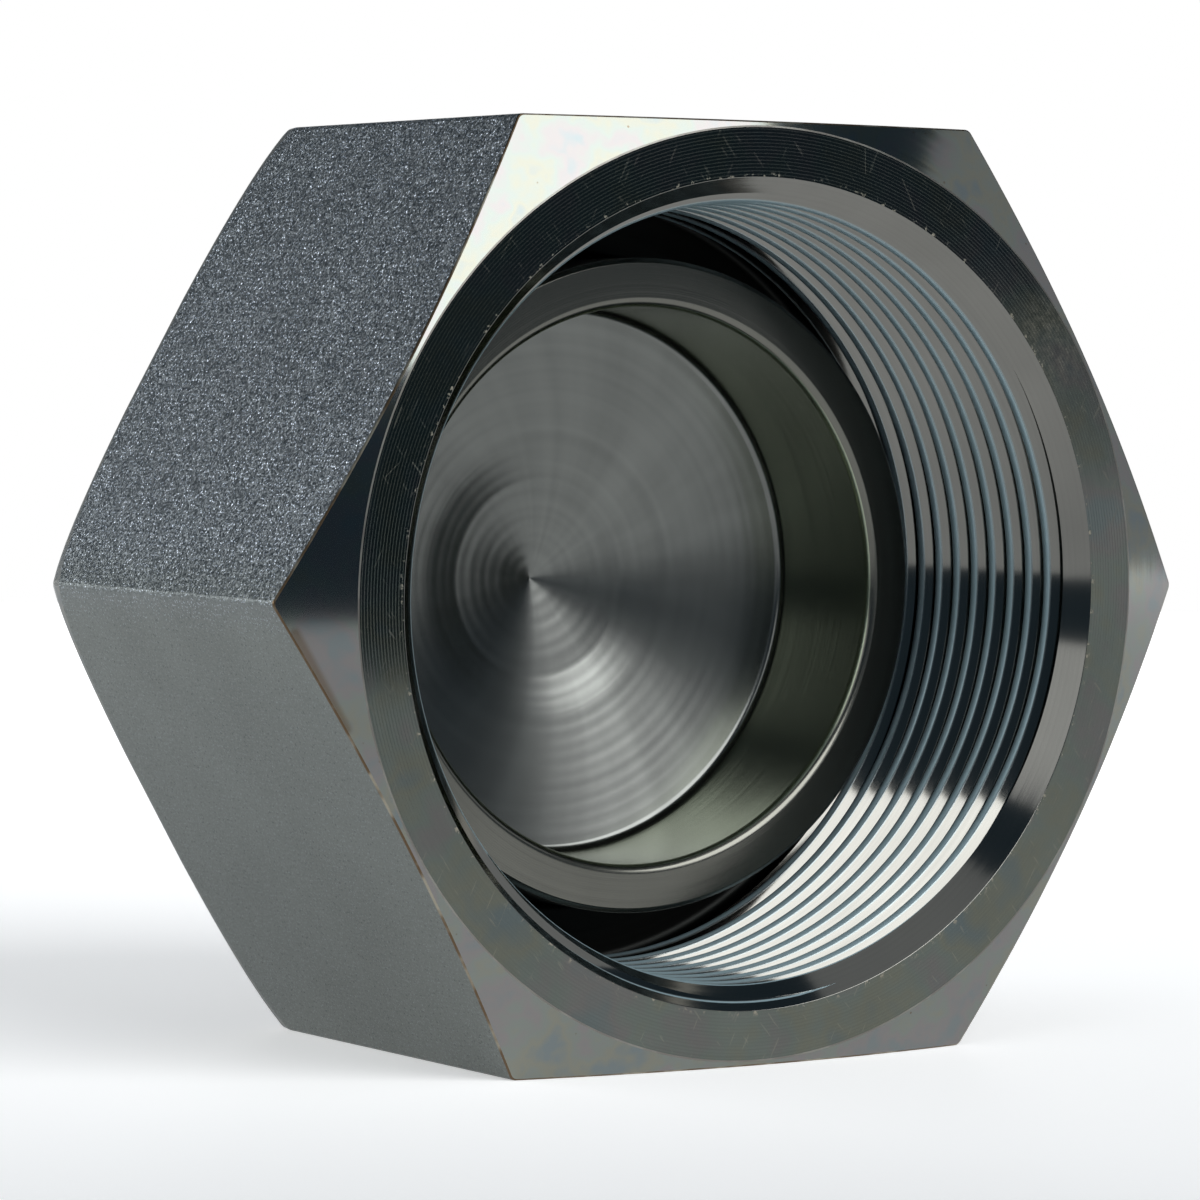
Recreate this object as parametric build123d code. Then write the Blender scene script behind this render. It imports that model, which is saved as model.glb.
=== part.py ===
from build123d import *
from math import cos, pi, radians, sqrt, tan
import os

# A closed hexagon cap with a female thread and a raised ring seat inside.
# It lies on one flat: X runs across the corners, Y along the axis with the
# open mouth towards -Y, and Z up from the flat that it rests on.
# Every size is in millimetres. A depth is measured from the mouth's face.

# Outer body
hex_across_flats = 60.0
hex_corner_radius = 0.5
body_length = 33.5
end_chamfer_angle = 20.0
front_land_diameter = 59.3
back_land_diameter = 60.6

# Thread and the space behind it
thread_diameter = 52.0
thread_pitch = 2.0
mouth_diameter = 52.9
mouth_countersink_angle = 45.0
thread_end_depth = 20.3
relief_clearance = 0.25
relief_flank_angle = 45.0
trench_floor_depth = 23.6
trench_corner_radius = 0.8

# Raised ring seat in the middle of the thread
seat_depth = 13.6
seat_outer_diameter = 43.0
seat_outer_break = 0.3
seat_inner_break = 0.4

# Recess inside the seat, left by a large drill over a smaller one
recess_diameter = 36.6
recess_depth = 24.1
recess_corner_radius = 0.5
recess_floor_angle = 11.5
pilot_diameter = 15.8
pilot_step = 0.7
pilot_floor_angle = 6.0

# Thread depth of a metric internal thread, as a share of its pitch
internal_thread_height = 5 / 8 * cos(pi / 6)

# Sizes that follow from the ones above
axis_height = hex_across_flats / 2
corner_reach = hex_across_flats / sqrt(3)
crest_radius = thread_diameter / 2 - internal_thread_height * thread_pitch
relief_radius = thread_diameter / 2 + relief_clearance
countersink_depth = (mouth_diameter / 2 - crest_radius) / tan(radians(mouth_countersink_angle))
relief_flank = (relief_radius - crest_radius) / tan(radians(relief_flank_angle))

# The section is drawn as (radius, depth) in the plane through the axis, and
# the hexagon in the plane of the mouth.
section_plane = Plane(origin=(0, -body_length / 2, axis_height), x_dir=(1, 0, 0), z_dir=(0, 0, 1))
mouth_plane = Plane(origin=(0, -body_length / 2, axis_height), x_dir=(1, 0, 0), z_dir=(0, 1, 0))
turning_axis = Axis((0, -body_length / 2, axis_height), (0, 1, 0))


def end_chamfer_rise(land_diameter):
    """Length along the axis that a chamfer takes between its land and the hexagon's corners."""
    return (corner_reach - land_diameter / 2) * tan(radians(end_chamfer_angle))


def turned_envelope():
    """Half section of the bar with both ends chamfered, as it bounds the hexagon."""
    front_rise = end_chamfer_rise(front_land_diameter)
    back_rise = end_chamfer_rise(back_land_diameter)
    return [
        (0, 0),
        (front_land_diameter / 2, 0),
        (corner_reach, front_rise),
        (corner_reach, body_length - back_rise),
        (back_land_diameter / 2, body_length),
        (0, body_length),
    ]


def cavity_section():
    """Half section of everything that is cut from the mouth, with a corner radius for each point."""
    seat_radius = seat_outer_diameter / 2
    recess_radius = recess_diameter / 2
    pilot_radius = pilot_diameter / 2
    pilot_rim_depth = recess_depth + (recess_radius - pilot_radius) * tan(radians(recess_floor_angle))
    pilot_floor_depth = pilot_rim_depth + pilot_step
    tip_depth = pilot_floor_depth + pilot_radius * tan(radians(pilot_floor_angle))
    return [
        ((0, 0), 0),
        ((mouth_diameter / 2, 0), 0),
        ((crest_radius, countersink_depth), 0),
        ((crest_radius, thread_end_depth), 0),
        ((relief_radius, thread_end_depth + relief_flank), 0),
        ((relief_radius, trench_floor_depth), trench_corner_radius),
        ((seat_radius, trench_floor_depth), trench_corner_radius),
        ((seat_radius, seat_depth + seat_outer_break), 0),
        ((seat_radius - seat_outer_break, seat_depth), 0),
        ((recess_radius + seat_inner_break, seat_depth), 0),
        ((recess_radius, seat_depth + seat_inner_break), 0),
        ((recess_radius, recess_depth), recess_corner_radius),
        ((pilot_radius, pilot_rim_depth), 0),
        ((pilot_radius, pilot_floor_depth), 0),
        ((0, tip_depth), 0),
    ]


with BuildPart() as cap_body:
    with BuildSketch(mouth_plane):
        RegularPolygon(radius=hex_across_flats / 2, side_count=6, major_radius=False)
        fillet(vertices(), radius=hex_corner_radius)
    extrude(amount=body_length)

    with BuildSketch(section_plane):
        with BuildLine():
            Polyline(*turned_envelope(), close=True)
        make_face()
    revolve(axis=turning_axis, mode=Mode.INTERSECT)

    with BuildSketch(section_plane):
        with BuildLine():
            cavity = cavity_section()
            FilletPolyline(*[point for point, _ in cavity], radius=[corner for _, corner in cavity], close=True)
        make_face()
    revolve(axis=turning_axis, mode=Mode.SUBTRACT)

cap_body.part.label = "cap_body"
os.makedirs("parts", exist_ok=True)
export_step(cap_body.part, "parts/cap_body.step")
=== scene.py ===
from math import acos, atan2, ceil, cos, pi, radians, sin, sqrt, tan

import bmesh
import bpy
import numpy as np
from mathutils import Matrix, Vector


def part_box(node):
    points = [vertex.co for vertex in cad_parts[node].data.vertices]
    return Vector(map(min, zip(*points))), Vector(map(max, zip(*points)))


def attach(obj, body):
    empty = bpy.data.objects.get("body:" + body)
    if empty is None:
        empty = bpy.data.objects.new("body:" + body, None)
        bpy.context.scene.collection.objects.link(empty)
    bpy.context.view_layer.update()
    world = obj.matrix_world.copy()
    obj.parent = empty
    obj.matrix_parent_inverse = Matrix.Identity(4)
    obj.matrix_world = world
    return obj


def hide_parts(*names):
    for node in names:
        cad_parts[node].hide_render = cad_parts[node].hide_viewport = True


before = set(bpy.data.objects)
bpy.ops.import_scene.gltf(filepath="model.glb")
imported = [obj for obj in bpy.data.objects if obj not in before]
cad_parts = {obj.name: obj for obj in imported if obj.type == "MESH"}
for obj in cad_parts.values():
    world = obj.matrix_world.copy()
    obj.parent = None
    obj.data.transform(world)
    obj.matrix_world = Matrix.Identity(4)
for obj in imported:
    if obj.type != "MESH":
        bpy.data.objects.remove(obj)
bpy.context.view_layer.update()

bl_info = {
    "name": "Threaded protection cap",
    "version": (1, 0, 0),
    "blender": (4, 5, 0),
    "location": "3D View > Sidebar > Cap",
    "description": "A closed hexagon cap with a female thread, on a pale studio floor",
    "category": "Object",
}

MM = 0.001
BLACK = (0.0, 0.0, 0.0, 1.0)
WHITE = (1.0, 1.0, 1.0, 1.0)
NODE = "cap_body"
LOW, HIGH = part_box(NODE)
MOUTH_Y = LOW.y
AXIS_Z = (LOW.z + HIGH.z) / 2

# A metric thread: the depth of an internal one as a share of its pitch, and the slope of its flanks
METRIC_HEIGHT = 5 / 8 * cos(pi / 6)
FLANK_ANGLE = radians(30)

# Edges between turned surfaces stay sharp above the first angle, and those of the thread above the second
SHARP_ANGLE = radians(18.5)
SHARP_THREAD_ANGLE = radians(36)

# How much further a point lies along the tool's marks for each millimetre of depth
MARKS_PER_DEPTH = 1.37

# Spacing of the finest feed marks on the turned face, in millimetres
FACE_FEED = 0.22

# Faint colours of passivated plating, as factors on its colour, by the value of a noise
PASSIVATION = (
    (0.32, (0.80, 0.91, 0.97)),
    (0.42, (1.0, 0.985, 0.86)),
    (0.5, (0.92, 0.99, 0.95)),
    (0.58, (1.0, 0.93, 0.95)),
    (0.68, (0.84, 0.93, 0.98)),
)

# Marks on the cap: from one place to another, in millimetres from the mouth's middle, and their width
SCRATCHES = (
    ((7.67, 0.0, 28.41), (7.72, 0.0, 26.9), 0.12),
    ((10.64, 0.0, 26.58), (11.7, 0.0, 24.6), 0.12),
    ((-25.9, 0.0, 8.5), (-25.2, 0.0, 7.7), 0.2),
    ((-27.9, 0.0, 7.6), (-26.9, 0.0, 8.5), 0.08),
)
STAIN = ((-33.3, 1.33, -1.8), (-30.2, 0.53, -7.6), 1.1)
NICK = ((-18.9, 1.6, 28.6), (-18.2, 1.5, 28.2), 0.12)
RUBBED_PATCH = (22.6, 0.0, 16.0)

# Camera: its place, the way it looks and its roll
CAMERA_PLACE = (-0.191716, -0.292430, 0.045283)
CAMERA_AHEAD = (0.54492098, 0.83718908, -0.04664293)
CAMERA_ROLL = radians(0.4802)

# How far the floor reaches from the cap, up to each angle in degrees to the right of the mouth's direction.
# It ends closer in front of the mouth than behind, and reaches far out at the right.
FLOOR_REACH = ((33, 0.4), (79, 1.6), (279, 0.6), (360, 0.4))

# Soft lamps: name, degrees to the right of the mouth's direction and above the floor, distance, width, height
# and shape
LAMPS = (
    ("front_lamp", (12.5, 35.5), 1.6, 1.5, 1.2, "ELLIPSE"),
    ("low_lamp", (24, 13), 0.9, 0.31, 0.17, "RECTANGLE"),
    ("back_lamp", (236, 15), 0.7, 0.9, 0.2, "RECTANGLE"),
    ("left_lamp", (-56, 25), 0.8, 0.34, 0.48, "RECTANGLE"),
    ("right_lamp", (76, 11), 0.8, 0.64, 0.5, "RECTANGLE"),
    ("edge_lamp", (47, 0), 0.9, 0.36, 0.05, "RECTANGLE"),
    ("top_lamp", (-15, 72), 0.8, 0.8, 0.5, "RECTANGLE"),
)

# Surfaces of the cap. Their order is the order of its material slots.
ZONES = (
    "flat",
    "corner",
    "edge",
    "back_edge",
    "chamfer",
    "mouth_face",
    "countersink",
    "crest",
    "groove",
    "trench",
    "seat",
    "recess_wall",
    "recess_floor",
    "back_face",
)


class Wire:
    """A socket that a value comes from. Arithmetic on it adds Math nodes to its tree."""

    def __init__(self, tree, socket):
        self.tree = tree
        self.socket = socket

    def math(self, operation, *others, clamp=False):
        settings = {"operation": operation, "use_clamp": clamp}
        return self.tree.add("ShaderNodeMath", settings, [self, *others])[0]

    def swapped(self, operation, other):
        return self.tree.add("ShaderNodeMath", {"operation": operation}, [other, self])[0]

    def __add__(self, other):
        return self.math("ADD", other)

    def __radd__(self, other):
        return self.swapped("ADD", other)

    def __sub__(self, other):
        return self.math("SUBTRACT", other)

    def __rsub__(self, other):
        return self.swapped("SUBTRACT", other)

    def __mul__(self, other):
        return self.math("MULTIPLY", other)

    def __truediv__(self, other):
        return self.math("DIVIDE", other)

    def clamped(self):
        return self.math("ADD", 0.0, clamp=True)

    def over(self, low, high):
        """0 below low, 1 above high and a smooth rise between them."""
        settings = {"interpolation_type": "SMOOTHSTEP"}
        sockets = {"Value": self, "From Min": low, "From Max": high}
        return self.tree.add("ShaderNodeMapRange", settings, sockets)["Result"]


class Outputs:
    """The outputs of one node, by place or by name."""

    def __init__(self, tree, node):
        self.tree = tree
        self.node = node

    def __getitem__(self, key):
        if isinstance(key, str):
            key = next(i for i, s in enumerate(self.node.outputs) if key in (s.identifier, s.name))
        return Wire(self.tree, self.node.outputs[key])


class Tree:
    """A shader or geometry node tree that is being built."""

    def __init__(self, node_tree):
        self.nodes = node_tree.nodes
        self.links = node_tree.links

    def add(self, kind, settings=None, sockets=()):
        """Add a node: its settings first, then a value or a wire for each socket, by place or by name."""
        node = self.nodes.new(kind)
        for name, value in (settings or {}).items():
            if name == "stops":
                self.set_stops(node.color_ramp, value)
            else:
                setattr(node, name, value)
        pairs = sockets.items() if isinstance(sockets, dict) else enumerate(sockets)
        for key, value in pairs:
            if isinstance(key, str):
                key = next(i for i, s in enumerate(node.inputs) if key in (s.identifier, s.name))
            if isinstance(value, Wire):
                self.links.new(value.socket, node.inputs[key])
            else:
                node.inputs[key].default_value = value
        return Outputs(self, node)

    @staticmethod
    def set_stops(ramp, stops):
        while len(ramp.elements) < len(stops):
            ramp.elements.new(1.0)
        for element, (place, colour) in zip(ramp.elements, stops):
            element.position = place
            element.color = (*colour, 1.0)

    def vector(self, operation, *values):
        out = self.add("ShaderNodeVectorMath", {"operation": operation}, list(values))
        return out["Value"] if operation in ("DOT_PRODUCT", "LENGTH", "DISTANCE") else out["Vector"]

    def scaled(self, vector, factor):
        sockets = {"Vector": vector, "Scale": factor}
        return self.add("ShaderNodeVectorMath", {"operation": "SCALE"}, sockets)["Vector"]

    def combine(self, x=0.0, y=0.0, z=0.0):
        return self.add("ShaderNodeCombineXYZ", None, [x, y, z])[0]

    def split(self, vector):
        out = self.add("ShaderNodeSeparateXYZ", None, [vector])
        return out[0], out[1], out[2]

    def noise(self, vector, scale, detail=2.0, roughness=0.5):
        sockets = {"Vector": vector, "Scale": scale, "Detail": detail, "Roughness": roughness}
        return self.add("ShaderNodeTexNoise", None, sockets)["Fac"]

    def cells(self, vector, scale):
        return self.add("ShaderNodeTexVoronoi", None, {"Vector": vector, "Scale": scale})["Color"]

    def spots(self, vector, scale, share, reach):
        """1 in round spots at a share of a loose grid's points. Their reach is a share of its spacing."""
        out = self.add("ShaderNodeTexVoronoi", None, {"Vector": vector, "Scale": scale})
        chosen = self.split(out["Color"])[0].over(1.0 - share, 1.01 - share)
        return (1.0 - out["Distance"].over(reach * 0.5, reach)) * chosen

    def mix(self, factor, first, second):
        settings = {"data_type": "RGBA"}
        sockets = {"Factor_Float": factor, "A_Color": first, "B_Color": second}
        return self.add("ShaderNodeMix", settings, sockets)["Result_Color"]


def rgba(colour):
    """A user's colour as a socket takes it."""
    return (colour[0], colour[1], colour[2], 1.0)


def size(name, description, value):
    """A length that is written in millimetres."""
    return bpy.props.FloatProperty(
        name=name, description=description, default=value * MM, min=0.0,
        unit="LENGTH", subtype="DISTANCE", precision=5,
    )


def angle(name, description, value):
    """An angle that is written in degrees."""
    return bpy.props.FloatProperty(
        name=name, description=description, default=radians(value), subtype="ANGLE"
    )


def colour(name, description, value):
    """A colour in linear light."""
    return bpy.props.FloatVectorProperty(
        name=name, description=description, default=value, min=0.0, max=1.0, size=3, subtype="COLOR"
    )


def factor(name, description, value):
    """A plain number from 0 up."""
    return bpy.props.FloatProperty(name=name, description=description, default=value, min=0.0)


class CapSizes(bpy.types.PropertyGroup):
    """Sizes of the cap. Depths are measured from the mouth's face."""

    across_flats: size("Across flats", "Width of the hexagon across its flats", 60.0)
    corner_radius: size("Corner radius", "Rounding of the hexagon's six long corners", 0.5)
    length: size("Length", "Length of the cap along its axis", 33.5)
    chamfer_angle: angle("Chamfer angle", "Slope of both end chamfers from the end faces", 20.0)
    front_land: size("Front land", "Diameter where the chamfer at the mouth starts", 59.3)
    back_land: size("Back land", "Diameter where the chamfer at the closed end starts", 60.6)
    edge_break: size("Edge break", "Worn width of the edges between flats and chamfers", 0.11)
    back_break: size("Back break", "Worn width of the edges at the closed end", 0.9)
    back_corner_wear: factor(
        "Back corner wear", "How much more the closed end's corners are worn than its edges", 1.4
    )
    mouth: size("Mouth", "Diameter of the countersink at the mouth", 52.9)
    thread: size("Thread", "Nominal diameter of the thread", 52.0)
    pitch: size("Pitch", "Pitch of the thread", 2.0)
    crest_break: size("Crest break", "Width of the rounding along the thread's crests", 0.2)
    thread_end: size("Thread end", "Depth at which the thread's wall ends", 20.3)
    thread_phase: size("Thread phase", "Depth of a crest's middle on the side towards +X", 16.93)
    relief_clearance: size("Relief clearance", "How far the relief behind the thread clears its root", 0.25)
    trench_floor: size("Trench floor", "Depth of the floor of the trench around the seat", 23.6)
    trench_corner: size("Trench corner", "Corner radius in the trench", 0.8)
    seat_depth: size("Seat depth", "Depth of the seat ring's face", 13.6)
    seat_outside: size("Seat outside", "Outside diameter of the seat ring", 43.0)
    seat_outer_break: size("Seat outer break", "Break of the seat ring's outer edge", 0.3)
    seat_inner_break: size("Seat inner break", "Break of the seat ring's inner edge", 0.4)
    seat_inner_round: size("Seat inner rounding", "Rounding of that break's own edges", 0.6)
    recess: size("Recess", "Diameter of the recess inside the seat ring", 36.6)
    recess_depth: size("Recess depth", "Depth of the recess at its wall", 24.1)
    recess_corner: size("Recess corner", "Corner radius at the recess's floor", 0.6)
    recess_slope: angle("Recess slope", "Slope of the recess's floor", 11.5)
    pilot: size("Pilot", "Diameter of the step in the recess's floor", 15.8)
    pilot_step: size("Pilot step", "Height of the step in the recess's floor", 0.13)
    pilot_slant: size("Pilot slant", "Width of the slanted wall of the step", 2.6)
    pilot_corner: size("Pilot corner", "Rounding of the step's edges", 6.0)
    pilot_slope: angle("Pilot slope", "Slope of the floor inside the step", 9.55)
    columns_per_side: bpy.props.IntProperty(
        name="Columns per side", description="Faces along each of the six sides", default=44, min=8, max=120
    )


class CapFinish(bpy.types.PropertyGroup):
    """Colours of the zinc plating on each kind of surface. The trench's colour is painted shade, and the
    flats carry painted glints and painted floor light.
    """

    blasted: colour("Blasted", "Blasted flats", (0.158, 0.176, 0.188))
    # The lower flats' warmer colour is painted light: the warm light of the floor below them
    painted_floor_light_flat: colour("Rubbed flat", "Lower flats, which are rubbed smoother", (0.164, 0.182, 0.172))
    # Painted glints: bright spots in the colour that stand in for grains catching the light
    painted_glint: colour("Sparkle", "Bright grains on the flats", (0.78, 0.86, 0.97))
    smooth: colour("Smooth", "Smooth chamfers", (0.19, 0.194, 0.187))
    turned: colour("Turned", "Turned face around the mouth", (0.119, 0.126, 0.118))
    threaded: colour("Threaded", "Thread and countersink", (0.184, 0.182, 0.168))
    crest: colour("Crest", "Crests and roots of the thread", (0.29, 0.40, 0.44))
    seat: colour("Seat", "Seat ring", (0.138, 0.138, 0.122))
    wall: colour("Wall", "Wall of the recess", (0.37, 0.41, 0.31))
    recess: colour("Recess", "Drilled floor of the recess", (0.17, 0.177, 0.168))
    # The trench's near-black colour is painted shade: it stands in for the deep shade in the trench around
    # the seat
    trench: colour("Trench", "Trench around the seat, which the plating hardly reached", (0.02, 0.021, 0.02))
    rubbed: colour("Rubbed", "Edges and scratches that are rubbed bright", (0.28, 0.26, 0.21))
    stain: colour("Stain", "Brown stains along the edges", (0.11, 0.075, 0.045))


class CapStudio(bpy.types.PropertyGroup):
    """Floor, lamps and camera."""

    floor: colour("Floor", "Colour of the floor", (0.86, 0.86, 0.86))
    surround: colour("Surround", "Colour of the room", (0.044, 0.070, 0.094))
    front_lamp: factor("Front lamp", "Brightness of the large soft lamp in front", 3.75)
    low_lamp: factor("Low lamp", "Brightness of the small lamp below the front lamp", 1.15)
    back_lamp: factor("Back lamp", "Brightness of the low soft lamp behind on the left", 3.6)
    left_lamp: factor("Left lamp", "Brightness of the small soft lamp on the left", 1.0)
    right_lamp: factor("Right lamp", "Brightness of the dim lamp on the right", 0.42)
    edge_lamp: factor("Edge lamp", "Brightness of the narrow strip at the floor's far edge", 0.36)
    top_lamp: factor("Top lamp", "Brightness of the soft lamp overhead", 0.35)
    lens: bpy.props.FloatProperty(name="Lens", description="Focal length in mm", default=158.94, min=1.0)


def rounded(points, arc_steps=5):
    """Round the corners of a line of (radius, depth, corner radius, zone after it)."""
    line = []
    for i, (r, d, corner, zone) in enumerate(points):
        if corner <= 0 or i in (0, len(points) - 1):
            line.append((r, d, zone))
            continue
        here = np.array((r, d))
        back = np.array(points[i - 1][:2]) - here
        ahead = np.array(points[i + 1][:2]) - here
        back /= np.linalg.norm(back)
        ahead /= np.linalg.norm(ahead)
        half = acos_safe(float(back @ ahead)) / 2
        reach = corner / tan(half)
        centre = here + (back + ahead) / np.linalg.norm(back + ahead) * corner / sin(half)
        start = here + back * reach - centre
        end = here + ahead * reach - centre
        turn = acos_safe(float(start @ end) / corner**2)
        for step in range(arc_steps + 1):
            share = step / arc_steps
            spot = centre + (start * sin((1 - share) * turn) + end * sin(share * turn)) / sin(turn)
            line.append((spot[0], spot[1], zone))
    return line


def acos_safe(value):
    """The arc cosine of a value that rounding may have put a little past 1 or -1."""
    return acos(max(-1.0, min(1.0, value)))


def crest_radius(s):
    """Radius of an internal metric thread's crest."""
    return s.thread / 2 - METRIC_HEIGHT * s.pitch


def inner_line(s):
    """Section of the hollow from the mouth's edge to the tip of the recess, in metres."""
    crest = crest_radius(s)
    relief = s.thread / 2 + s.relief_clearance
    seat, recess, pilot = s.seat_outside / 2, s.recess / 2, s.pilot / 2
    rim = s.recess_depth + (recess - pilot) * tan(s.recess_slope)
    step = rim + s.pilot_step
    tip = step + pilot * tan(s.pilot_slope)
    mouth_round, thread_round, fine_round = 0.06 * MM, 0.25 * MM, 0.12 * MM
    worn, slant = s.edge_break / 2, s.pilot_slant / 2
    points = [
        (s.front_land / 2 + worn, worn * tan(s.chamfer_angle), 0, "edge"),
        (s.front_land / 2 - worn, 0, 0, "mouth_face"),
        (s.mouth / 2, 0, mouth_round, "countersink"),
        (crest, s.mouth / 2 - crest, thread_round, "crest"),
        (crest, s.thread_end, 0, "trench"),
        (relief, s.thread_end + relief - crest, fine_round, "trench"),
        (relief, s.trench_floor, s.trench_corner, "trench"),
        (seat, s.trench_floor, s.trench_corner, "trench"),
        (seat, s.seat_depth + s.seat_outer_break, fine_round, "seat"),
        (seat - s.seat_outer_break, s.seat_depth, fine_round, "seat"),
        (recess + s.seat_inner_break, s.seat_depth, s.seat_inner_round, "seat"),
        (recess, s.seat_depth + s.seat_inner_break, s.seat_inner_round, "recess_wall"),
        (recess, s.recess_depth, s.recess_corner, "recess_floor"),
        (pilot + slant, rim - slant * tan(s.recess_slope), s.pilot_corner, "recess_floor"),
        (pilot - slant, step + slant * tan(s.pilot_slope), s.pilot_corner, "recess_floor"),
        (0.0, tip, 0, "recess_floor"),
    ]
    return rounded(points)


def column_angles(s):
    """Angles of the mesh's columns, with a few close ones round each long corner."""
    centre = s.across_flats / sqrt(3) - s.corner_radius / sin(pi / 3)
    tangent = atan2(s.corner_radius * sin(pi / 6), centre + s.corner_radius * cos(pi / 6))
    across = np.linspace(tangent, pi / 3 - tangent, s.columns_per_side + 1)[:-1]
    around = np.linspace(-tangent, tangent, 6)[:-1]
    one_side = np.concatenate([around, across])
    return np.concatenate([one_side + k * pi / 3 for k in range(6)]), centre, tangent


def hexagon_reach(s, angles, centre, tangent):
    """Radius of the rounded hexagon at each angle."""
    off = (angles + pi / 6) % (pi / 3) - pi / 6
    flat = s.across_flats / 2 / np.cos(pi / 6 - np.abs(off))
    arc = centre * np.cos(off) + np.sqrt(np.maximum(s.corner_radius**2 - (centre * np.sin(off)) ** 2, 0))
    return np.where(np.abs(off) < tangent, arc, flat)


def outer_rows(s, reach):
    """Rows of the outside, from the closed end's middle to the mouth: (radii, depths, zone after it)."""
    slope = tan(s.chamfer_angle)

    def edge(land, end, towards, e, steps):
        """The rows of a worn edge, from the chamfer to the flat, each as (radii, depths)."""
        on_chamfer = (reach - e, end + towards * np.maximum(reach - e - land, 0) * slope)
        sharp = (reach, end + towards * np.maximum(reach - land, 0) * slope)
        on_flat = (reach, sharp[1] + towards * e)
        shares = np.linspace(0, 1, steps + 1)
        return [
            [(1 - k) ** 2 * a + 2 * k * (1 - k) * b + k**2 * c for a, b, c in zip(on_chamfer, sharp, on_flat)]
            for k in shares
        ]

    # The closed end is worn the more, the nearer a place lies to one of its six corners
    towards_corner = (reach - s.across_flats / 2) / (reach.max() - s.across_flats / 2)
    worn = s.back_break * (1 + s.back_corner_wear * towards_corner**4)
    back, front = s.back_land / 2, s.front_land / 2
    back_edge = edge(back, s.length, -1, worn, 5)
    front_edge = edge(front, 0.0, 1, s.edge_break, 2)
    whole = np.ones_like(reach)
    rows = [
        (0 * whole, s.length * whole, "back_face"),
        (0.5 * back * whole, s.length * whole, "back_face"),
        (np.minimum(back, reach - worn), s.length * whole, "chamfer"),
    ]
    rows += [(*row, "back_edge") for row in back_edge[:-1]] + [(*back_edge[-1], "flat")]
    rows += [(*row, "edge") for row in front_edge[:0:-1]] + [(*front_edge[0], "chamfer")]
    return rows


def cap_mesh(s):
    """Closed mesh of the cap without its thread groove, in the row frame, in metres."""
    angles, centre, tangent = column_angles(s)
    reach = hexagon_reach(s, angles, centre, tangent)
    count = len(angles)
    whole = np.ones_like(reach)
    rows = outer_rows(s, reach) + [(r * whole, d * whole, zone) for r, d, zone in inner_line(s)]
    points, starts = [], []
    for r, d, _ in rows:
        starts.append(len(points))
        if r.max() < 1e-9:
            points.append((0.0, MOUTH_Y + d[0], AXIS_Z))
        else:
            points.extend(zip(r * np.cos(angles), MOUTH_Y + d, AXIS_Z + r * np.sin(angles)))
    faces, zones = [], []
    nudge = pi / 720  # from a column's first edge to inside the column
    for i, (a, b) in enumerate(zip(starts, starts[1:])):
        zone = ZONES.index(rows[i][2])
        for j in range(count):
            k = (j + 1) % count
            if i == 0:
                face = (a, b + k, b + j)
            elif i == len(starts) - 2:
                face = (a + j, a + k, b)
            else:
                face = (a + j, a + k, b + k, b + j)
            faces.append(face)
            off = (angles[j] + nudge + pi / 6) % (pi / 3) - pi / 6
            on_corner = rows[i][2] == "flat" and abs(off) < tangent
            zones.append(ZONES.index("corner") if on_corner else zone)
    mesh = bpy.data.meshes.new("cap_body")
    mesh.from_pydata(points, [], faces)
    mesh.polygons.foreach_set("material_index", zones)
    return mesh


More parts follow.
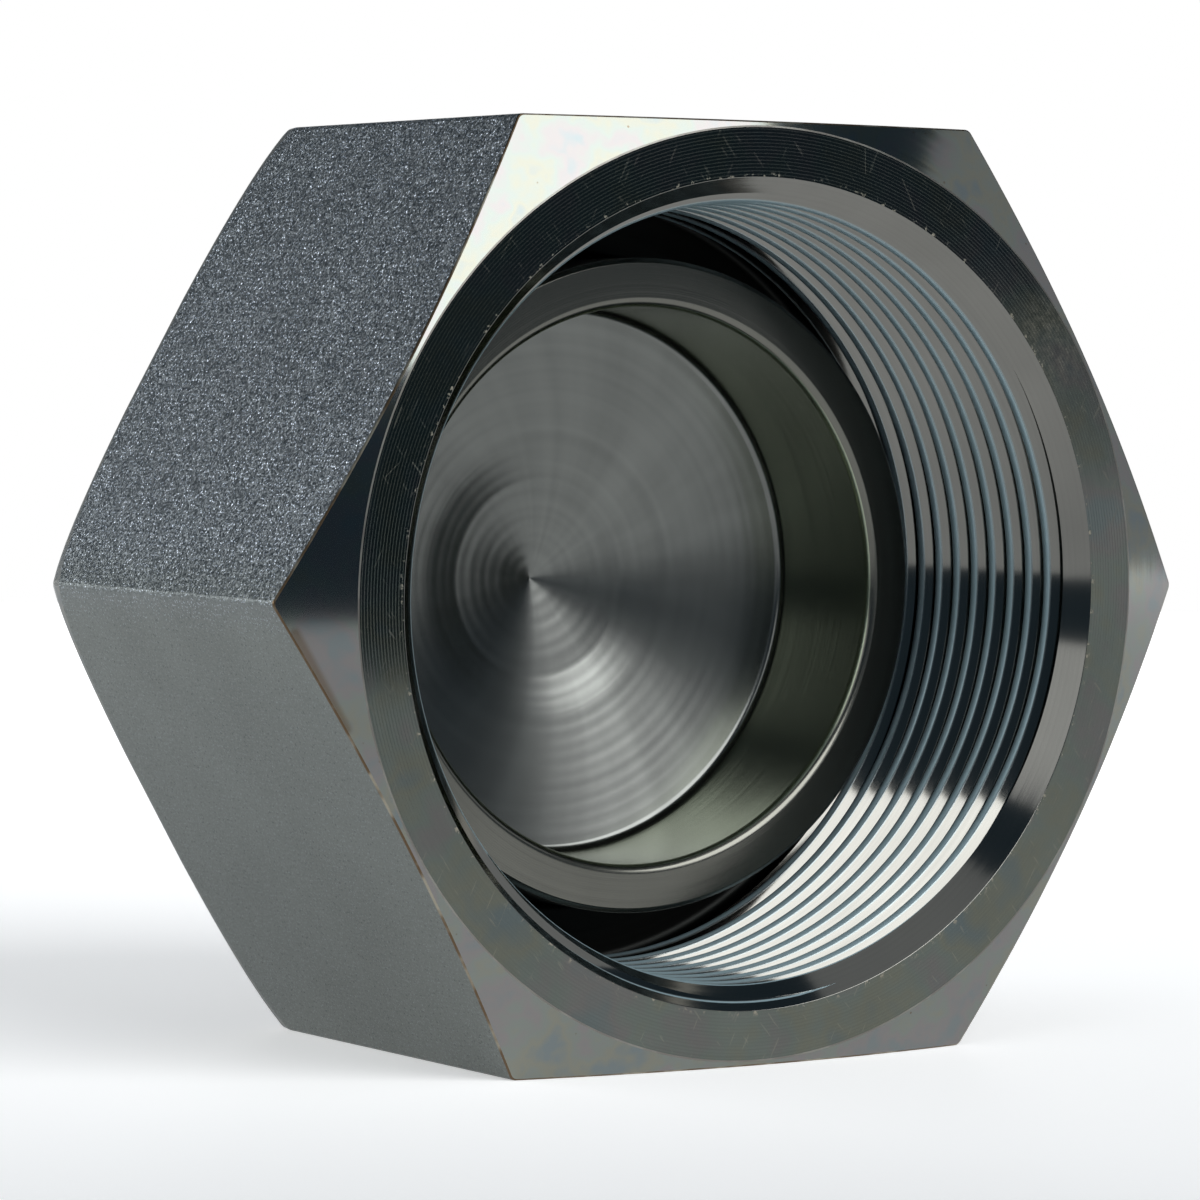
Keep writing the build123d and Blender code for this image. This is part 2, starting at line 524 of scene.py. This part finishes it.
def thread_tree(segments):
    """Geometry nodes that cut a metric thread's groove into a bore, with so many segments to each turn."""
    group = bpy.data.node_groups.new("thread_groove", "GeometryNodeTree")
    group.interface.new_socket("Geometry", in_out="INPUT", socket_type="NodeSocketGeometry")
    names = (
        "Root Radius", "Crest Radius", "Pitch", "Crest Break", "Start Depth", "First Turn", "Turns",
        "Axis Height", "Mouth",
    )
    for name in names:
        group.interface.new_socket(name, in_out="INPUT", socket_type="NodeSocketFloat")
    group.interface.new_socket("Material", in_out="INPUT", socket_type="NodeSocketMaterial")
    group.interface.new_socket("Geometry", in_out="OUTPUT", socket_type="NodeSocketGeometry")
    tree = Tree(group)
    given = tree.add("NodeGroupInput")
    root, crest, pitch, edge = (given[n] for n in names[:4])

    # The groove's section: X outwards from the thread's axis, Y along it. Each edge of a crest is rounded
    # over the edge's width, from the flank to the bore. The last point lies inside the bore, so that the cut
    # is clean.
    root_half = pitch / 16
    slope = tan(FLANK_ANGLE)
    rounding = pitch * 0.03
    crest_half = root_half + (root - crest) * slope
    down, aside = cos(FLANK_ANGLE), sin(FLANK_ANGLE)
    corners = (
        (root, root_half - rounding),
        (root - rounding, root_half + rounding * slope),
        (crest + edge * down, crest_half - edge * aside),
        (crest + edge * (down / 4), crest_half + edge * ((1 - aside) / 4)),
        (crest - edge * 0.065, crest_half + edge * 1.2625),
    )
    section_points = [tree.combine(x - root, y) for x, y in corners]
    section_points += [tree.combine(x - root, y * -1.0) for x, y in reversed(corners)]
    switch = tree.add("GeometryNodeIndexSwitch", {"data_type": "VECTOR"})
    while len(switch.node.index_switch_items) < len(section_points):
        switch.node.index_switch_items.new()
    index = tree.add("GeometryNodeInputIndex")
    group.links.new(index[0].socket, switch.node.inputs["Index"])
    for place, point in enumerate(section_points):
        group.links.new(point.socket, switch.node.inputs[1 + place])
    ring = tree.add(
        "GeometryNodeCurvePrimitiveCircle", {"mode": "RADIUS"}, {"Resolution": len(section_points)}
    )
    section = tree.add("GeometryNodeSetPosition", None, {"Geometry": ring["Curve"], "Position": switch[0]})

    # The path: a helix about Z, laid down afterwards so that it advances towards the mouth
    turns = given["Turns"]
    count = (turns * segments).math("ROUND")
    helix = tree.add("GeometryNodeMeshLine", None, {"Count": count, "Offset": (0, 0, 0)})
    bend = (tree.add("GeometryNodeInputIndex")[0] / segments + given["First Turn"]) * (2 * pi)
    spot = tree.combine(root * bend.math("COSINE"), root * bend.math("SINE"), pitch * bend / (2 * pi))
    placed = tree.add("GeometryNodeSetPosition", None, {"Geometry": helix["Mesh"], "Position": spot})
    path = tree.add("GeometryNodeMeshToCurve", None, {"Mesh": placed["Geometry"]})
    upright = tree.add("GeometryNodeSetCurveNormal", {"mode": "Z_UP"}, {"Curve": path["Curve"]})
    sweep = {"Curve": upright["Curve"], "Profile Curve": section["Geometry"], "Fill Caps": True}
    cutter = tree.add("GeometryNodeCurveToMesh", None, sweep)
    start = tree.combine(0.0, given["Mouth"] + given["Start Depth"], given["Axis Height"])
    laid = tree.add(
        "GeometryNodeTransform", None,
        {"Geometry": cutter["Mesh"], "Translation": start, "Rotation": (pi / 2, 0, 0)},
    )
    tagged = tree.add(
        "GeometryNodeStoreNamedAttribute", {"data_type": "BOOLEAN", "domain": "FACE"},
        {"Geometry": laid["Geometry"], "Name": "groove", "Value": True},
    )
    body = tree.add(
        "GeometryNodeStoreNamedAttribute", {"data_type": "BOOLEAN", "domain": "FACE"},
        {"Geometry": given["Geometry"], "Name": "groove", "Value": False},
    )
    cut = tree.add(
        "GeometryNodeMeshBoolean", {"operation": "DIFFERENCE", "solver": "EXACT"},
        {"Mesh 1": body["Geometry"], "Mesh 2": tagged["Geometry"]},
    )
    real = tree.add("GeometryNodeRealizeInstances", None, {"Geometry": cut["Mesh"]})
    in_groove = tree.add("GeometryNodeInputNamedAttribute", {"data_type": "BOOLEAN"}, {"Name": "groove"})
    finished = tree.add(
        "GeometryNodeSetMaterial", None,
        {"Geometry": real["Geometry"], "Selection": in_groove["Attribute"], "Material": given["Material"]},
    )
    result = tree.add("NodeGroupOutput")
    group.links.new(finished["Geometry"].socket, result.node.inputs[0])
    return group


def clean(mesh):
    """Merge the points that fall together where a chamfer runs out, and drop what has no size."""
    bm = bmesh.new()
    bm.from_mesh(mesh)
    bmesh.ops.remove_doubles(bm, verts=bm.verts, dist=0.0001 * MM)
    bmesh.ops.dissolve_degenerate(bm, edges=bm.edges, dist=0.0001 * MM)
    bm.to_mesh(mesh)
    bm.free()


def read_all(items, name, kind=float, width=1):
    """One property of all the points, corners or faces of a mesh."""
    values = np.empty(len(items) * width, kind)
    items.foreach_get(name, values)
    return values.reshape(-1, width) if width > 1 else values


def in_zones(zone, *names):
    """Which faces lie in the named zones."""
    return np.isin(zone, [ZONES.index(name) for name in names])


def section_normals(normal, middle):
    """The faces' normals in the plane through the cap's axis, as their parts outwards and along the axis."""
    outwards = np.stack([middle[:, 0], middle[:, 2] - AXIS_Z], 1)
    outwards /= np.maximum(np.linalg.norm(outwards, axis=1), 1e-9)[:, None]
    along = np.clip(normal[:, 1], -1, 1)
    side = np.sign(normal[:, 0] * outwards[:, 0] + normal[:, 2] * outwards[:, 1])
    return np.stack([side * np.sqrt(1 - along**2), along], 1)


def blended_sections(section, area, turned, threaded, vertex, face):
    """Average the section normals of the turned faces that meet at a point without a sharp edge between them.

    The thread's rounded crests have few faces, so their edges count as smooth up to a larger angle. The
    result has a row for each corner of each face, as vertex and face have.
    """
    order = np.argsort(vertex, kind="stable")
    bounds = np.flatnonzero(np.diff(vertex[order])) + 1
    blended = section[face].copy()
    limits = np.where(threaded, cos(SHARP_THREAD_ANGLE), cos(SHARP_ANGLE))
    for group in np.split(order, bounds):
        group = group[turned[face[group]]]
        if len(group) < 2:
            continue
        vectors = section[face[group]]
        alike = threaded[face[group]][:, None] == threaded[face[group]]
        near = alike & (vectors @ vectors.T > limits[face[group]][:, None])
        total = near @ (vectors * area[face[group]][:, None])
        blended[group] = total / np.linalg.norm(total, axis=1)[:, None]
    return blended


def true_normals(mesh, s, zone):
    """Give every turned surface the normals of its true round form, and keep edges sharp."""
    normal = read_all(mesh.polygons, "normal", width=3)
    middle = read_all(mesh.polygons, "center", width=3)
    area = read_all(mesh.polygons, "area") / MM**2 + 1e-6
    vertex = read_all(mesh.loops, "vertex_index", int)
    face = np.repeat(np.arange(len(mesh.polygons)), read_all(mesh.polygons, "loop_total", int))
    turned = ~in_zones(zone, "flat", "corner", "edge", "back_edge")
    threaded = in_zones(zone, "crest", "groove")
    blended = blended_sections(section_normals(normal, middle), area, turned, threaded, vertex, face)

    spot = read_all(mesh.vertices, "co", width=3)[vertex] - (0, 0, AXIS_Z)
    reach = np.maximum(np.hypot(spot[:, 0], spot[:, 2]), 1e-9)
    result = normal[face].copy()
    use = turned[face] & (reach > 0.01 * MM)
    result[use, 0] = blended[use, 0] * spot[use, 0] / reach[use]
    result[use, 1] = blended[use, 1]
    result[use, 2] = blended[use, 0] * spot[use, 2] / reach[use]

    # The long corners are small round edges of their own
    _, centre, _ = column_angles(s)
    use = in_zones(zone, "corner")[face]
    sector = np.round(np.arctan2(spot[use, 2], spot[use, 0]) / (pi / 3)) * pi / 3
    aside = np.stack([spot[use, 0] - centre * np.cos(sector), spot[use, 2] - centre * np.sin(sector)], 1)
    aside /= np.linalg.norm(aside, axis=1)[:, None]
    result[use] = np.insert(aside, 1, 0.0, axis=1)
    mesh.normals_split_custom_set(result.tolist())


def cut_thread(body, s, material):
    """Cut the thread groove and return the result as a plain mesh."""
    segments = 6 * (s.columns_per_side // 2 + 8)
    group = thread_tree(segments)
    modifier = body.modifiers.new("thread", "NODES")
    modifier.node_group = group
    sockets = {i.name: i.identifier for i in group.interface.items_tree if i.in_out == "INPUT"}

    # A groove's middle lies half a pitch from a crest's. The path starts behind the thread's wall, where the
    # relief is wider than the groove, and it runs out through the mouth.
    values = {
        "Root Radius": s.thread / 2,
        "Crest Radius": crest_radius(s),
        "Pitch": s.pitch,
        "Crest Break": s.crest_break,
        "Start Depth": s.thread_phase + 3.5 * s.pitch,
        "First Turn": 0.85,
        "Turns": float(ceil(s.thread_end / s.pitch) + 1),
        "Axis Height": AXIS_Z,
        "Mouth": MOUTH_Y,
        "Material": material,
    }
    for name, value in values.items():
        modifier[sockets[name]] = value
    graph = bpy.context.evaluated_depsgraph_get()
    mesh = bpy.data.meshes.new_from_object(
        body.evaluated_get(graph), preserve_all_data_layers=True, depsgraph=graph
    )
    body.modifiers.remove(modifier)
    return mesh


# Finishes


def cap_places(tree):
    """Where a point lies on the cap in millimetres: its place, radius, depth and the direction outwards."""
    place = tree.scaled(
        tree.vector("SUBTRACT", tree.add("ShaderNodeTexCoord")["Object"], (0.0, MOUTH_Y, AXIS_Z)), 1 / MM
    )
    x, depth, z = tree.split(place)
    flat = tree.combine(x, 0.0, z)
    outwards = tree.vector("NORMALIZE", flat)
    return place, tree.vector("LENGTH", flat), depth, outwards


def turning_marks(tree, spacing, tilt, fine_tilt, feed_spacing=0.0, feed_tilt=0.0):
    """A normal that tips to and fro across a turning tool's marks, which run round the cap's axis."""
    _, radius, depth, outwards = cap_places(tree)
    normal = tree.add("ShaderNodeNewGeometry")["Normal"]
    around = tree.vector("CROSS_PRODUCT", outwards, (0.0, 1.0, 0.0))
    across = tree.vector("CROSS_PRODUCT", normal, around)
    path = radius - depth * MARKS_PER_DEPTH
    ring = tree.vector("ADD", tree.scaled(outwards, 0.35), tree.combine(path / spacing, 0.0, 0.0))
    coarse = tree.noise(ring, 1.0, 1.0) - 0.5
    fine = tree.noise(ring, 5.0, 1.0) - 0.5
    tip = coarse * (2 * tilt) + fine * (2 * fine_tilt)
    if feed_spacing:
        tip = tip + (path * (2 * pi / feed_spacing)).math("SINE") * feed_tilt
    return tree.vector("NORMALIZE", tree.vector("ADD", normal, tree.scaled(across, tip)))


def metal(name):
    """A new metal material: its tree, and its shader's node."""
    material = bpy.data.materials.new(name)
    material.use_nodes = True
    material.node_tree.nodes.clear()
    tree = Tree(material.node_tree)
    shader = tree.add("ShaderNodeBsdfPrincipled", None, {"Metallic": 1.0})
    output = tree.add("ShaderNodeOutputMaterial")
    tree.links.new(shader[0].socket, output.node.inputs["Surface"])
    return material, tree, shader.node


def plug(tree, shader, **sockets):
    """Wire values into the shader's sockets; an underscore stands for a space."""
    for name, value in sockets.items():
        target = shader.inputs[name.replace("_", " ")]
        if isinstance(value, Wire):
            tree.links.new(value.socket, target)
        else:
            target.default_value = value


def streak(tree, place, start, end, width):
    """1 on the straight line between two places on the cap, and 0 at half the width beside it."""
    along = Vector(end) - Vector(start)
    offset = tree.vector("SUBTRACT", place, start)
    share = tree.vector("DOT_PRODUCT", offset, tuple(along / along.length_squared)).clamped()
    away = tree.vector("LENGTH", tree.vector("SUBTRACT", offset, tree.scaled(tuple(along), share)))
    return 1.0 - away.over(width * 0.1, width * 0.5)


def streaks(tree, place, lines):
    """The strongest of several streaks at each point."""
    masks = [streak(tree, place, *line) for line in lines]
    strongest = masks[0]
    for mask in masks[1:]:
        strongest = strongest.math("MAXIMUM", mask)
    return strongest


def blasted_zinc(f, name="blasted_zinc", painted_shade_blotches=0.0):
    """The flats' grain: smaller bumps and a warmer painted floor light on the lower ones, painted glints
    mostly on the upper ones, and painted shade in dark blotches where asked.
    """
    material, tree, shader = metal(name)
    place, _, _, _ = cap_places(tree)
    upper = tree.split(place)[2].over(-3.0, 4.0)
    normal = tree.add("ShaderNodeNewGeometry")["Normal"]
    grains = tree.vector("SUBTRACT", tree.cells(place, 8.0), (0.5, 0.5, 0.5))
    small = tree.vector("SUBTRACT", tree.cells(place, 15.0), (0.5, 0.5, 0.5))
    grains = tree.scaled(grains, upper * 0.34 + 0.09)
    small = tree.scaled(small, upper * 0.38 + 0.12)
    rough = tree.vector("ADD", grains, small)
    tipped = tree.vector("NORMALIZE", tree.vector("ADD", normal, rough))
    cloud = tree.noise(place, 0.12, 3.0)
    grain = tree.noise(place, 5.0, 3.0, 0.65)
    shade = (grain.over(0.3, 0.7) - 0.5) * (upper * 0.22 + 0.1) + 0.85 + (cloud - 0.5) * 0.3
    # Upper flats take the plain colour, and lower ones the warmer colour of painted floor light
    lit = tree.mix(upper, rgba(f.painted_floor_light_flat), rgba(f.blasted))
    base = tree.mix(shade.clamped(), BLACK, lit)
    pits = tree.spots(place, 3.4, 0.5, 0.3) * (1.0 - upper)
    # Dark blotches along the long corners are painted shade, standing in for the contact shade at the lowest
    # corner next to the floor
    if painted_shade_blotches:
        pits = pits.math("MAXIMUM", tree.noise(place, 1.1, 3.0, 0.6).over(0.46, 0.54) * painted_shade_blotches)
    base = tree.mix(pits * 0.5, base, rgba(f.trench))
    # Painted glints: bright spots that stand in for grains catching the light, mostly on the upper flats
    painted_glint = tree.spots(place, 5.5, 0.6, 0.36) * (upper * 0.8 + 0.1)
    base = tree.mix(painted_glint, base, rgba(f.painted_glint))
    plug(tree, shader, Base_Color=base, Roughness=0.36 + grain * 0.12, Normal=tipped)
    return material


def turned_base(tree, shade, feed_spacing=0.0, feed_shade=0.0):
    """The colour of a turned surface, a little lighter and darker along the tool's marks."""
    place, radius, depth, _ = cap_places(tree)
    cloud = tree.noise(place, 0.15, 3.0)
    path = radius - depth * MARKS_PER_DEPTH
    line = tree.noise(tree.combine(path, 0.0, 0.0), 3.0, 2.0)
    light = 0.8 + cloud * 0.25 + (line - 0.5) * 0.25
    if feed_spacing:
        light = light + (path * (2 * pi / feed_spacing)).math("COSINE") * feed_shade
    return tree.mix(light.clamped(), BLACK, rgba(shade))


def turned_zinc(name, shade, spacing, tilt, fine_tilt, roughness, feed_spacing=0.0, feed_tilt=0.0):
    """A plain turned surface with its tool's marks."""
    material, tree, shader = metal(name)
    normal = turning_marks(tree, spacing, tilt, fine_tilt, feed_spacing, feed_tilt)
    plug(tree, shader, Base_Color=turned_base(tree, shade), Roughness=roughness, Normal=normal)
    return material


def passivated(tree, place, scale, base):
    """A base colour with the faint mottled colours of passivated plating."""
    cloud = tree.noise(place, scale, 3.0, 0.6)
    tint = tree.add("ShaderNodeValToRGB", {"stops": PASSIVATION}, [cloud])["Color"]
    sockets = {"Factor_Float": 1.0, "A_Color": tint, "B_Color": base}
    return tree.add("ShaderNodeMix", {"data_type": "RGBA", "blend_type": "MULTIPLY"}, sockets)["Result_Color"]


def face_zinc(s, f):
    """The turned face round the mouth: feed marks, nicks along its edge, scratches and a rubbed patch."""
    material, tree, shader = metal("turned_face")
    place, radius, _, _ = cap_places(tree)
    base = passivated(tree, place, 0.12, turned_base(tree, f.turned, FACE_FEED, 0.05))
    lines = (radius * (2 * pi / FACE_FEED)).math("COSINE").over(0.1, 1.0)
    specks = tree.noise(place, 1.7, 3.0, 0.7)
    rim = (1.0 - (radius - s.mouth / 2 / MM).over(0.03, 0.45)) * specks.over(0.56, 0.64)
    x, depth, z = tree.split(place)
    hairs = tree.noise(tree.combine(x * 5.0 + z * 4.0, z * 0.5 - x * 0.6, depth), 0.6, 1.0).over(0.69, 0.73)
    others = tree.noise(tree.combine(x * 6.0 - z * 3.0, x * 0.25 + z * 0.5, depth), 0.6, 1.0).over(0.69, 0.73)
    scratches = streaks(tree, place, SCRATCHES)
    patch = 1.0 - tree.vector("DISTANCE", place, RUBBED_PATCH).over(1.5, 4.5)
    patch = patch * specks.over(0.35, 0.65) * 0.3
    hairs = (hairs + others) * 0.2
    marks = rim.math("MAXIMUM", scratches * 0.3).math("MAXIMUM", hairs).math("MAXIMUM", patch).clamped()
    base = tree.mix(marks, base, rgba(f.rubbed))
    plug(
        tree, shader, Base_Color=base, Roughness=lines * 0.1 + marks * 0.35 + 0.08,
        Normal=turning_marks(tree, 0.4, 0.006, 0.01),
    )
    return material


def recess_zinc(f):
    """The drilled floor, with soft rings and faint streaks towards its tip."""
    material, tree, shader = metal("recess_zinc")
    _, radius, _, outwards = cap_places(tree)
    fan = tree.vector("ADD", tree.scaled(outwards, 5.0), tree.combine(radius * 0.12, 0.0, 0.0))
    rings = tree.noise(tree.combine(radius, 0.0, 0.0), 1.1, 1.0)
    light = 0.78 + (tree.noise(fan, 1.0, 2.0) - 0.5) * 0.35 + (rings - 0.5) * 0.3
    base = tree.mix(light.clamped(), BLACK, rgba(f.recess))
    normal = turning_marks(tree, 1.6, 0.02, 0.008, 1.1, 0.009)
    plug(tree, shader, Base_Color=base, Roughness=0.21, Normal=normal)
    return material


def smooth_zinc(f):
    """The chamfers, with the faint colours of the passivated plating, a brown stain and a few pits."""
    material, tree, shader = metal("smooth_zinc")
    place, _, _, _ = cap_places(tree)
    tint = passivated(tree, place, 0.25, rgba(f.smooth))
    stained = streak(tree, place, *STAIN) * 0.6
    stained = stained.math("MAXIMUM", tree.spots(place, 0.9, 0.35, 0.1) * 0.7)
    stained = stained.math("MAXIMUM", streak(tree, place, *NICK))
    base = tree.mix(stained.clamped(), tint, rgba(f.stain))
    plug(tree, shader, Base_Color=base, Roughness=0.1, Normal=turning_marks(tree, 0.5, 0.012, 0.012))
    return material


def worn_edge_zinc(s, f):
    """The narrow edges, rubbed bright in places and stained brown in others, less so round the mouth."""
    material, tree, shader = metal("worn_edge")
    place, radius, _, _ = cap_places(tree)
    wear = tree.noise(place, 0.3, 3.0, 0.65)
    base = tree.mix(wear.over(0.45, 0.62), rgba(f.stain), rgba(f.rubbed))
    land = s.front_land / 2 / MM
    base = tree.mix(radius.over(land + 0.07, land + 0.2) * 0.7 + 0.3, rgba(f.smooth), base)
    plug(tree, shader, Base_Color=base, Roughness=0.3)
    return material


def back_edge_zinc(f):
    """The rounded edges at the closed end, which are rubbed a little brighter than the flats."""
    material, tree, shader = metal("back_edge")
    place, _, _, _ = cap_places(tree)
    wear = tree.noise(place, 1.2, 3.0, 0.6).over(0.35, 0.7)
    base = tree.mix(wear * 0.4 + 0.1, rgba(f.blasted), rgba(f.rubbed))
    plug(tree, shader, Base_Color=base, Roughness=0.42)
    return material


def thread_zinc(s, f):
    """The thread's bright flanks, with duller crests and roots."""
    material, tree, shader = metal("thread_zinc")
    _, radius, _, _ = cap_places(tree)
    crest = 1.0 - (radius - crest_radius(s) / MM).over(0.03, 0.25)
    root = (radius - s.thread / 2 / MM).over(-0.16, -0.04)
    dull = crest.math("MAXIMUM", root)
    base = tree.mix(dull, turned_base(tree, f.threaded), rgba(f.crest))
    plug(
        tree, shader, Base_Color=base, Roughness=dull * 0.33 + 0.07, Metallic=1.0 - dull * 0.6,
        Normal=turning_marks(tree, 0.5, 0.004, 0.004),
    )
    return material


def cap_materials(s, f):
    """One material for each zone, in the order of ZONES."""
    blasted = blasted_zinc(f)
    # The corners carry dark blotches of painted shade
    corner = blasted_zinc(f, "corner_zinc", 0.35)
    smooth = smooth_zinc(f)
    worn = worn_edge_zinc(s, f)
    face = face_zinc(s, f)
    closed = turned_zinc("closed_end_zinc", f.turned, 0.4, 0.008, 0.012, 0.16)
    thread = thread_zinc(s, f)
    mouth = turned_zinc("countersink_zinc", f.threaded, 0.5, 0.008, 0.008, 0.1)
    wall = turned_zinc("wall_zinc", f.wall, 0.35, 0.06, 0.03, 0.24)
    seat = turned_zinc("seat_zinc", f.seat, 0.4, 0.02, 0.02, 0.2, 0.15, 0.01)
    floor = recess_zinc(f)
    # The trench's near-black colour is painted shade
    trench = turned_zinc("trench_zinc", f.trench, 0.4, 0.05, 0.03, 0.4)
    chosen = {
        "flat": blasted, "corner": corner, "edge": worn, "back_edge": back_edge_zinc(f), "chamfer": smooth,
        "mouth_face": face, "countersink": mouth, "crest": thread, "groove": thread, "trench": trench,
        "seat": seat, "recess_wall": wall, "recess_floor": floor, "back_face": closed,
    }
    return [chosen[zone] for zone in ZONES]


class CAP_OT_body(bpy.types.Operator):
    """Make the cap, cut its thread and give each surface its finish"""

    bl_idname = "cap.body"
    bl_label = "Cap"

    def execute(self, context):
        s, f = context.scene.cap_sizes, context.scene.cap_finish
        mesh = cap_mesh(s)
        clean(mesh)
        for zone in ZONES:
            mesh.materials.append(bpy.data.materials.new("zone_" + zone))
        draft = bpy.data.objects.new("cap_draft", mesh)
        context.scene.collection.objects.link(draft)
        cut = cut_thread(draft, s, mesh.materials[ZONES.index("groove")])
        order = [ZONES.index(m.name.removeprefix("zone_")) for m in cut.materials]
        zones = np.array(order)[read_all(cut.polygons, "material_index", int)]
        bpy.data.objects.remove(draft)
        cut.name = "cap"
        true_normals(cut, s, zones)
        finishes = cap_materials(s, f)
        cut.materials.clear()
        unique = list(dict.fromkeys(finishes))
        for material in unique:
            cut.materials.append(material)
        slots = np.array([unique.index(m) for m in finishes])
        cut.polygons.foreach_set("material_index", slots[zones])
        piece = bpy.data.objects.new("cap", cut)
        context.scene.collection.objects.link(piece)
        if "groove" in cut.attributes:
            cut.attributes.remove(cut.attributes["groove"])
        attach(piece, "root")
        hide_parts(NODE)
        return {"FINISHED"}


def seen_rays(tree):
    """1 for the rays by which the camera, gloss and glass see a surface, 0 for those that light others."""
    path = tree.add("ShaderNodeLightPath")
    seen = path["Is Camera Ray"].math("MAXIMUM", path["Is Glossy Ray"])
    return seen.math("MAXIMUM", path["Is Transmission Ray"])


def stage_mesh(name, points, faces, material):
    """A mesh that belongs to the studio and not to the cap."""
    mesh = bpy.data.meshes.new(name)
    mesh.from_pydata(points, [], faces)
    mesh.materials.append(material)
    item = bpy.data.objects.new(name, mesh)
    bpy.context.scene.collection.objects.link(item)


def soft_lamp(name, angles, distance, width, height, shape, radiance):
    """A soft lamp that faces the cap, as bright as its radiance over its whole area."""
    turn, rise = radians(angles[0]), radians(angles[1])
    way = Vector((sin(turn) * cos(rise), -cos(turn) * cos(rise), sin(rise)))
    lamp = bpy.data.lights.new(name, "AREA")
    lamp.shape = shape
    lamp.size, lamp.size_y = width, height
    lamp.energy = radiance * 4 * width * height * (pi / 4 if shape == "ELLIPSE" else 1.0)
    item = bpy.data.objects.new(name, lamp)
    item.location = Vector((0, 0, AXIS_Z)) + way * distance
    item.rotation_euler = way.to_track_quat("Z", "Y").to_euler()
    bpy.context.scene.collection.objects.link(item)


def add_camera(scene, ahead, lens_length):
    """The camera. Its axes are the image's right, the image's up and the way back from what it looks at."""
    level = ahead.cross(Vector((0, 0, 1))).normalized()
    above = level.cross(ahead)
    right = cos(CAMERA_ROLL) * level + sin(CAMERA_ROLL) * above
    above = right.cross(ahead)
    lens = bpy.data.cameras.new("camera")
    lens.lens = lens_length
    lens.sensor_width = 36.0
    lens.clip_start = 0.01
    camera = bpy.data.objects.new("camera", lens)
    facing = Matrix((right, above, -ahead)).transposed().to_4x4()
    camera.matrix_world = Matrix.Translation(Vector(CAMERA_PLACE)) @ facing
    scene.collection.objects.link(camera)
    scene.camera = camera


def add_floor(ahead, shade):
    """The floor. It glows, and the more so the further back it lies."""
    material = bpy.data.materials.new("floor")
    material.use_nodes = True
    tree = Tree(material.node_tree)
    shader = material.node_tree.nodes["Principled BSDF"]
    heading = Vector((ahead.x, ahead.y, 0)).normalized()
    behind = tree.vector("DOT_PRODUCT", tree.add("ShaderNodeTexCoord")["Object"], tuple(heading))
    glow = (behind.over(-0.12, 0.02) * 0.31 + behind.over(0.02, 0.3) * 0.4 + 0.12) * seen_rays(tree)
    plug(
        tree, shader, Base_Color=rgba(shade), Roughness=0.6,
        Emission_Color=tree.mix(glow, BLACK, WHITE), Emission_Strength=1.0,
    )
    points = []
    for degrees in range(0, 360, 3):
        reach = next(reach for last, reach in FLOOR_REACH if degrees <= last)
        turn = radians(degrees - 90)
        points.append((reach * cos(turn), reach * sin(turn), 0.0))
    stage_mesh("floor", points, [tuple(range(len(points)))], material)


def add_backdrop(ahead):
    """A white wall behind the cap. It shows, also in reflections, and lights nothing else."""
    material = bpy.data.materials.new("backdrop")
    material.use_nodes = True
    material.node_tree.nodes.clear()
    tree = Tree(material.node_tree)
    glow = tree.add("ShaderNodeEmission", None, {"Color": WHITE, "Strength": 1.0})
    # The first of the two shaders that are mixed is left open, which is black
    seen = tree.add("ShaderNodeMixShader", None, {0: seen_rays(tree), 2: glow[0]})
    tree.add("ShaderNodeOutputMaterial", None, {"Surface": seen[0]})
    far, low, high, spread = 0.62, -0.02, 0.30, radians(30)
    middle = atan2(ahead.y, ahead.x)
    columns = 48
    points = []
    for i in range(columns + 1):
        turn = middle - spread + 2 * spread * i / columns
        points += [(far * cos(turn), far * sin(turn), z) for z in (low, high)]
    faces = [(2 * i, 2 * i + 1, 2 * i + 3, 2 * i + 2) for i in range(columns)]
    stage_mesh("backdrop", points, faces, material)


class CAP_OT_stage(bpy.types.Operator):
    """Make the camera, the floor, the backdrop and the lamps"""

    bl_idname = "cap.stage"
    bl_label = "Studio"

    def execute(self, context):
        scene, t = context.scene, context.scene.cap_studio
        ahead = Vector(CAMERA_AHEAD).normalized()
        add_camera(scene, ahead, t.lens)
        add_floor(ahead, t.floor)
        add_backdrop(ahead)
        for name, angles, distance, width, height, shape in LAMPS:
            soft_lamp(name, angles, distance, width, height, shape, getattr(t, name))
        world = bpy.data.worlds.new("room")
        scene.world = world
        world.use_nodes = True
        world.node_tree.nodes["Background"].inputs["Color"].default_value = rgba(t.surround)
        scene.view_settings.view_transform = "Standard"
        return {"FINISHED"}


class CAP_PT_panel(bpy.types.Panel):
    """Buttons and sizes of the cap"""

    bl_idname = "CAP_PT_panel"
    bl_label = "Threaded protection cap"
    bl_space_type = "VIEW_3D"
    bl_region_type = "UI"
    bl_category = "Cap"

    def draw(self, context):
        layout = self.layout
        layout.operator("cap.body")
        layout.operator("cap.stage")
        for group in (context.scene.cap_sizes, context.scene.cap_finish, context.scene.cap_studio):
            box = layout.box()
            for name in group.bl_rna.properties.keys():
                if name not in ("rna_type", "name"):
                    box.prop(group, name)


CLASSES = (CapSizes, CapFinish, CapStudio, CAP_OT_body, CAP_OT_stage, CAP_PT_panel)


def register():
    for item in CLASSES:
        bpy.utils.register_class(item)
    bpy.types.Scene.cap_sizes = bpy.props.PointerProperty(type=CapSizes)
    bpy.types.Scene.cap_finish = bpy.props.PointerProperty(type=CapFinish)
    bpy.types.Scene.cap_studio = bpy.props.PointerProperty(type=CapStudio)


def unregister():
    del bpy.types.Scene.cap_sizes
    del bpy.types.Scene.cap_finish
    del bpy.types.Scene.cap_studio
    for item in reversed(CLASSES):
        bpy.utils.unregister_class(item)


def main():
    register()
    bpy.ops.cap.body()
    bpy.ops.cap.stage()


if __name__ == "__main__":
    main()
